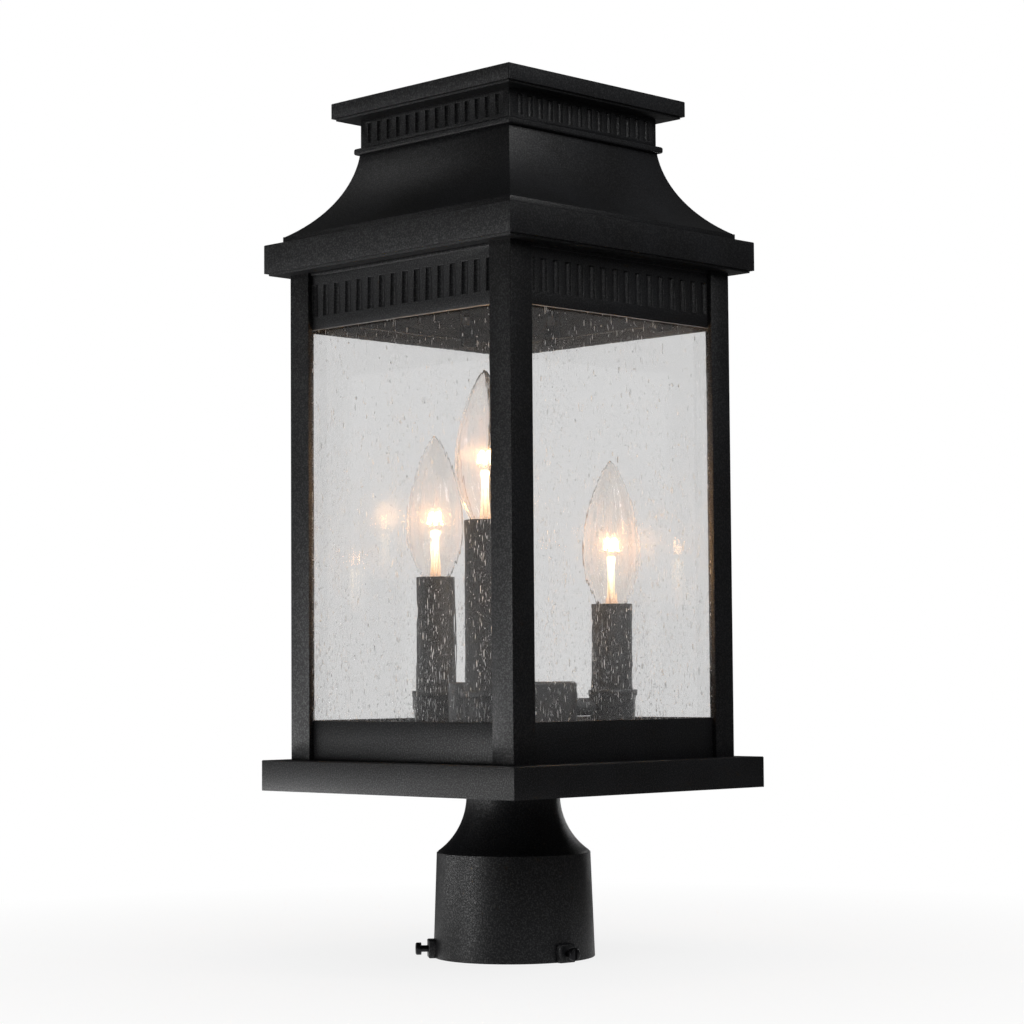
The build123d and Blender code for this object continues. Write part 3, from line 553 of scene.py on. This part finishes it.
def drill_boss(piece, around):
    """Drills a boss for its set screw, through to the bore."""
    radius, length, place = 1.8 * MM, 12 * MM, (42 * MM, 0, 4.8 * MM)
    lying = Matrix.Rotation(math.pi / 2, 3, "Y")
    drill = bmesh.new()
    bmesh.ops.create_cone(drill, cap_ends=True, segments=24, radius1=radius, radius2=radius,
                          depth=length)
    bmesh.ops.rotate(drill, verts=drill.verts, cent=(0, 0, 0), matrix=lying)
    bmesh.ops.translate(drill, verts=drill.verts, vec=place)
    bmesh.ops.rotate(drill, verts=drill.verts, cent=(0, 0, 0), matrix=around)
    boolean(piece, drill, "DIFFERENCE")


def post_fitter():
    """The casting: turned body with three drilled bosses at the rim."""
    boss_angles = (112, 232, 352)
    turns = [Matrix.Rotation(math.radians(angle), 3, "Z") for angle in boss_angles]
    piece = finish_piece("fitter_casting", [turned(fitter_outline(), 128)], "post_fitter")
    for around in turns:
        add_boss(piece, around)
    for around in turns:
        drill_boss(piece, around)
    piece.data.set_sharp_from_angle(angle=math.radians(SMOOTH_ANGLE))


post_fitter()


# ---------------------------------------------------------------- glazing
def round_shape(subdivisions):
    """The points and faces of a unit ball, its faces turned to look inwards."""
    bm = bmesh.new()
    bmesh.ops.create_icosphere(bm, subdivisions=subdivisions, radius=1)
    points = [tuple(vert.co) for vert in bm.verts]
    faces = [tuple(vert.index for vert in reversed(face.verts)) for face in bm.faces]
    bm.free()
    return points, faces


FINE_BALL, PLAIN_BALL = round_shape(2), round_shape(1)
SEED_COUNT, LARGE_COUNT, LANE_COUNT = 3800, 380, 16      # in each pane
FIRST_SEED = 40                                          # starts the first pane's random draws


def seed_place(rng, along, height, lanes):
    """Where a seed lies on its pane: some follow lanes, and all lie closer together low down."""
    in_lane, lane_spread, thinning = 0.4, 2.5 * MM, 0.65
    while True:
        if rng.random() < in_lane:
            side = rng.choice(lanes) + rng.gauss(0, lane_spread)
        else:
            side = rng.uniform(*along)
        level = rng.uniform(*height)
        share = (level - height[0]) / (height[1] - height[0])
        if along[0] < side < along[1] and rng.random() < 1 - thinning * share:
            return side, level


def seed_size(rng, large):
    """Half a seed's width and length: half of them nearly round, the others drawn out."""
    roundish, longest = 1.4, 2.3
    width = rng.uniform(*((0.16, 0.34) if large else (0.06, 0.17))) * MM
    length = width * roundish if rng.random() < 0.5 else rng.uniform(0.3, 1.0) ** 2 * longest * MM
    return width, length


def listed_mesh(points, faces):
    """A bmesh from lists of its points and faces."""
    mesh = bpy.data.meshes.new("seeds")
    mesh.from_pydata(points, [], faces)
    bm = bmesh.new()
    bm.from_mesh(mesh)
    bpy.data.meshes.remove(mesh)
    return bm


def drawn_seeds(rng, low, high, across):
    """All the seeds of a pane: slim upright voids, and rounder ones."""
    depth, flatness, skin = 1 - across, 0.8, 0.1 * MM
    side_margin, end_margin = 1 * MM, 4.5 * MM
    along = (low[across] + side_margin, high[across] - side_margin)
    height = (low.z + end_margin, high.z - end_margin)
    lanes = [rng.uniform(*along) for _ in range(LANE_COUNT)]
    points, faces = [], []
    for count in range(SEED_COUNT):
        large = count < LARGE_COUNT
        width, length = seed_size(rng, large)
        size, place = [0, 0, length], [0, 0, 0]
        size[across], size[depth] = width, width * flatness
        place[across], place[2] = seed_place(rng, along, height, lanes)
        place[depth] = rng.uniform(low[depth] + size[depth] + skin, high[depth] - size[depth] - skin)
        ball, ball_faces = FINE_BALL if large else PLAIN_BALL
        first = len(points)
        points += [tuple(c + s * u for c, s, u in zip(place, size, point)) for point in ball]
        faces += [tuple(first + index for index in face) for face in ball_faces]
    return listed_mesh(points, faces)


def glass_pane(side, number):
    """A pane of seeded glass with its bubbles."""
    node = "glass_pane_" + side
    low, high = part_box(node)
    across = 0 if side in ("front", "back") else 1
    seeds = drawn_seeds(random.Random(FIRST_SEED + number), low, high, across)
    piece = finish_piece("pane_" + side, [box_bm(low, high, 0.2 * MM, 1), seeds], node,
                         ["seeded_glass", "seed_void"])
    piece.visible_shadow = False


for number, side in enumerate(SIDES):
    glass_pane(side, number)


# ---------------------------------------------------------------- candle cluster
def bulb_outline(inset, mouth_z):
    """The torpedo's side from its neck to its tip, in mm, moved in by inset."""
    neck_r, mouth_r, belly_r = 5.3 - inset, 8.0 - inset, 16.0 - inset
    belly_z, tip_z = mouth_z + 26.0, mouth_z + 78.0 - inset
    flare, fullness, bluntness = 0.45, 0.56, 0.15
    belly, tip = (belly_r, belly_z), (0.0, tip_z)
    lower = bezier((mouth_r, mouth_z), (mouth_r + (belly_r - mouth_r) * flare, mouth_z + 7.8),
                   (belly_r, mouth_z + 15.6), belly, 20)
    upper = bezier(belly, (belly_r, belly_z + (tip_z - belly_z) * fullness),
                   (belly_r * bluntness, tip_z), tip, 36)
    return [(neck_r, mouth_z - 13.5), (neck_r, mouth_z - 6.5)] + lower + upper[1:]


def envelope(name):
    """The blown torpedo: a thin clear shell, closed at its drawn tip."""
    wall = 0.7
    centre, mouth_z = candle_place(name)
    outline = bulb_outline(0.0, mouth_z) + bulb_outline(wall, mouth_z)[::-1]
    piece = finish_piece("bulb_" + name, [turned(outline, 72, centre)], "bulb_envelope_" + name,
                         smooth_angle=60)
    piece.visible_shadow = False


def wire(points, radius, sides=8):
    """A round wire along a few points, with its ends closed."""
    bm = bmesh.new()
    rings = []
    for index, point in enumerate(points):
        before = points[max(index - 1, 0)]
        after = points[min(index + 1, len(points) - 1)]
        facing = (Vector(after) - Vector(before)).to_track_quat("Z", "Y").to_matrix().to_4x4()
        ring = bmesh.ops.create_circle(bm, segments=sides, radius=radius,
                                       matrix=Matrix.Translation(point) @ facing)["verts"]
        rings.append(ring)
    for one, two in zip(rings, rings[1:]):
        for i in range(sides):
            bm.faces.new((one[i], one[(i + 1) % sides], two[(i + 1) % sides], two[i]))
    bm.faces.new(rings[0][::-1])
    bm.faces.new(rings[-1])
    bmesh.ops.recalc_face_normals(bm, faces=bm.faces)
    return bm


MOUNT_TOP, WIRE_END = 26.0, 29.2         # heights above a sleeve's mouth, in mm
FILAMENT_BOW = 0.9                       # how far the filament's middle stands out, in mm


def stem_outline(mouth_z):
    """The flint stem's side in mm: a straight foot, a waist, and the pinch under its top."""
    low, top, foot_r = mouth_z - 21, mouth_z + MOUNT_TOP, 3.2
    waist = bezier((foot_r, mouth_z - 2), (3.1, mouth_z + 6), (2.1, mouth_z + 5), (2.0, mouth_z + 12), 12)
    pinch = [(1.9, top - 5), (2.6, top - 2), (2.3, top - 0.6), (1.2, top), (0, top)]
    return [(0, low), (foot_r, low)] + waist + pinch


def mount_wires(at, mouth_z):
    """Two lead wires that spread out to the filament's ends, and a tie wire to its middle."""
    lead_r, tie_r = 0.22 * MM, 0.15 * MM
    top, end = mouth_z + MOUNT_TOP, mouth_z + WIRE_END
    leads = [wire([at(0, 0, mouth_z - 10), at(side * 0.8, 0, mouth_z + 6), at(side * 0.9, 0, top - 1),
                   at(side * 3.4, 0, top + 1.5), at(side * 3.6, 0, end)], lead_r) for side in (-1, 1)]
    tie = wire([at(0, 0, top - 1), at(0, FILAMENT_BOW, top + 1.5), at(0, FILAMENT_BOW, end + 1)], tie_r)
    return [*leads, tie]


def coil_points(at, mouth_z):
    """The filament's coil: it climbs to two humps between the lead wires' ends, and bows out."""
    turns, steps = 26, 6
    span, hump, coil_r = 7.0, 6.0, 0.8
    points = []
    for i in range(turns * steps + 1):
        share = i / (turns * steps)
        climb = hump * abs(math.sin(2 * math.pi * share))
        angle = math.tau * i / steps
        points.append(at(-span / 2 + span * share + coil_r * math.cos(angle),
                         FILAMENT_BOW * math.sin(math.pi * share),
                         mouth_z + WIRE_END + climb + coil_r * math.sin(angle)))
    return points


def mount(name):
    """The flint mount with its wires, and the coiled filament on them."""
    (x, y), mouth_z = candle_place(name)
    turn = Matrix.Rotation(math.radians(38), 3, "Z")

    def at(across, along, height):
        """A point of the mount from mm across it, along it and up, in metres."""
        return Vector((x, y, 0)) + turn @ Vector((across, along, 0)) * MM + UP * height * MM

    stem = turned(stem_outline(mouth_z), 32, (x, y), closed=False)
    finish_piece("mount_" + name, [stem, *mount_wires(at, mouth_z)], "bulb_mount_" + name,
                 ["lead_glass", "zinc_steel", "zinc_steel", "zinc_steel"])
    coil = wire(coil_points(at, mouth_z), 0.32 * MM, 6)
    light = finish_piece("filament_" + name, [coil], "bulb_mount_" + name)
    light.visible_shadow = False


def sleeve(name):
    """Painted steel candle sleeve, the rim of its mouth rounded."""
    inner, outer, rounding = 10, 11, 0.5
    centre, mouth_z = candle_place(name)
    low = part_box("candle_sleeve_" + name)[0].z / MM
    outline = [(inner, low), (outer, low), (outer, mouth_z - rounding), (10.75, mouth_z - 0.1),
               (10.4, mouth_z), (10.1, mouth_z - 0.15), (inner, mouth_z - rounding)]
    finish_piece("sleeve_" + name, [turned(outline, 72, centre)], "candle_sleeve_" + name)


def cup(name):
    """Spun candle cup: beaded rim over a straight body with a rounded foot."""
    hole, foot_r, inner, seat, body, bead = 4.85, 7.0, 10.7, 11.05, 12.2, 13.3
    centre, _ = candle_place(name)
    low, high = (corner.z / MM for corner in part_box("candle_cup_" + name))
    bead_z, floor_z = high - 3.2, high - 2.5
    foot = bezier((foot_r, low), (10.5, low), (body, low + 2.0), (body, low + 5.0), 12)
    outline = [(hole, bead_z - 1.5), (inner, bead_z - 1.5), (inner, low + 5), (foot_r, low + 1.5)]
    outline += foot + [(body, bead_z - 0.6), (12.5, bead_z), (13.0, bead_z), (bead, bead_z + 0.5)]
    outline += [(bead, high - 0.5), (13.0, high), (seat, high), (seat, floor_z), (hole, floor_z)]
    finish_piece("cup_" + name, [turned(outline, 72, centre)], "candle_cup_" + name)


def hub():
    """Spun hub of the cluster, an open can with a rounded shoulder."""
    hole, inner, outer, sheet = 6.65, 32.1, 33.3, 1.2
    low, high = (corner.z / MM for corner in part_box("cluster_hub"))
    shoulder = bezier((outer, high - 2.2), (outer, high - 0.6), (32.7, high), (31.1, high), 8)
    outline = [(inner, low), (outer, low)] + shoulder
    outline += [(hole, high), (hole, high - sheet), (31.4, high - sheet), (inner, high - 2.0)]
    finish_piece("hub_can", [turned(outline, 96)], "cluster_hub")


hub()
for name in CANDLES:
    envelope(name)
    mount(name)
    sleeve(name)
    cup(name)
plain_copies([kind + name for kind in ("arm_", "lampholder_", "bulb_base_") for name in CANDLES])
plain_copies(["pane_clips", "clip_screws", "cage_screws", "threaded_nipple", "nipple_locknuts",
              "hub_cap_nut", "candle_stems", "roof_studs", "roof_nuts", "roof_screws"])
plain_copies([f"set_screw_{number}" for number in (1, 2, 3)])


# ---------------------------------------------------------------- stage
def towards_left(tree, direction):
    """The white wall that gloss sees: it stands to the lantern's left, and the right is dark."""
    dark_side = 0.07
    turned_to = add_node(tree, "VectorMath", {"operation": "DOT_PRODUCT"}, _0=direction,
                         _1=WHITE_WALL).outputs["Value"]
    return between(tree, turned_to, 0.3, 0.95, dark_side, 1.0)


def white_backdrop():
    """World: white to the camera and through glass; gloss sees one white wall; dim as a light."""
    wall_low, wall_high, least_gloss, as_light = 0.2, 0.075, 0.045, 0.04
    world = bpy.data.worlds.new("studio")
    bpy.context.scene.world = world
    world.use_nodes = True
    tree = world.node_tree
    ray = add_node(tree, "LightPath").outputs
    direction = add_node(tree, "TexCoord").outputs["Generated"]
    height = add_node(tree, "SeparateXYZ", Vector=direction).outputs["Z"]
    wall = times(tree, towards_left(tree, direction),
                 between(tree, height, -0.02, 0.13, wall_low, wall_high))
    gloss = times(tree, ray["Is Glossy Ray"], largest(tree, wall, least_gloss))
    strength = largest(tree, ray["Is Camera Ray"], ray["Is Transmission Ray"], gloss, as_light)
    back = tree.nodes["Background"]
    back.inputs["Color"].default_value = WHITE
    tree.links.new(strength, back.inputs["Strength"])


def floor_finish():
    """A white table: plain near the lantern, where it keeps the shadow, and white further off."""
    material, tree, shader = new_material("pale_floor")
    shader.inputs["Base Color"].default_value = colour("#E4E4E4")
    shader.inputs["Roughness"].default_value = 0.9
    ray = add_node(tree, "LightPath").outputs
    where = coordinates(tree)
    away = add_node(tree, "VectorMath", {"operation": "LENGTH"}, _0=where).outputs["Value"]
    outward = add_node(tree, "VectorMath", {"operation": "NORMALIZE"}, _0=where).outputs["Vector"]
    near = between(tree, away, 0.12, 0.3, 0.6, 0.0)
    gloss = times(tree, ray["Is Glossy Ray"], largest(tree, near, towards_left(tree, outward)))
    level = largest(tree, ray["Is Camera Ray"], ray["Is Transmission Ray"], gloss)
    seen = largest(tree, ray["Is Camera Ray"], ray["Is Transmission Ray"], ray["Is Glossy Ray"])
    white = add_node(tree, "Emission", Color=WHITE, Strength=level)
    mix_in(tree, times(tree, seen, between(tree, away, 0.05, 0.5, 0.85, 1.0)), shader, white)
    return material


def pale_floor():
    """The table that the lantern stands on."""
    half_width = 4.0
    bm = bmesh.new()
    bmesh.ops.create_grid(bm, x_segments=1, y_segments=1, size=half_width)
    mesh = bpy.data.meshes.new("floor")
    bm.to_mesh(mesh)
    bm.free()
    floor = bpy.data.objects.new("floor", mesh)
    bpy.context.scene.collection.objects.link(floor)
    mesh.materials.append(floor_finish())


def softbox(name, place, aim, width, height, watts, through_glass=True):
    """A plain white area lamp; one that stands low is kept from showing through the panes."""
    data = bpy.data.lights.new(name, "AREA")
    data.shape = "RECTANGLE"
    data.size = width
    data.size_y = height
    data.energy = watts
    lamp = bpy.data.objects.new(name, data)
    bpy.context.scene.collection.objects.link(lamp)
    lamp.location = place
    lamp.rotation_euler = (Vector(aim) - Vector(place)).to_track_quat("-Z", "Y").to_euler()
    lamp.visible_camera = False
    lamp.visible_transmission = through_glass


def set_camera():
    """The photograph's view: a long lens a little above the base tray, towards the near corner."""
    azimuth, aim_trim = math.radians(44.70), math.radians(0.02)
    tilt, roll = math.radians(90 + 3.55), math.radians(-0.42)
    distance, height = 1.4063, 0.1494
    data = bpy.data.cameras.new("camera")
    data.sensor_width = 36
    data.lens = 92.1
    camera = bpy.data.objects.new("camera", data)
    bpy.context.scene.collection.objects.link(camera)
    turn = (Matrix.Rotation(azimuth - aim_trim, 4, "Z") @ Matrix.Rotation(tilt, 4, "X")
            @ Matrix.Rotation(roll, 4, "Z"))
    place = Vector((distance * math.sin(azimuth), -distance * math.cos(azimuth), height))
    camera.matrix_world = Matrix.Translation(place) @ turn
    bpy.context.scene.camera = camera


white_backdrop()
pale_floor()
set_camera()
softbox("key", (-0.28, -0.75, 0.04), (0, 0, 0.09), 0.22, 0.12, 0.9, through_glass=False)
softbox("strip", (0.62, 0.14, 0.87), (0, 0, 0.25), 0.035, 0.8, 2.0)
softbox("thin_strip", (0.78, -0.26, 0.87), (0, 0, 0.25), 0.02, 0.7, 1.0)
softbox("bounce", (-0.27, -0.19, 0.01), (-0.27, -0.19, 0.3), 0.2, 0.1, 0.5, through_glass=False)
softbox("upper_left", (-0.66, -0.3, 0.92), (0, 0, 0.38), 0.35, 0.3, 0.28)
softbox("eave", (-0.56, -0.69, 0.53), (0, 0, 0.38), 0.3, 0.05, 0.2)
softbox("rim", (-0.24, 0.9, 0.2), (0, 0, 0.05), 0.12, 0.36, 0.6, through_glass=False)
bpy.context.scene.view_settings.view_transform = "Standard"
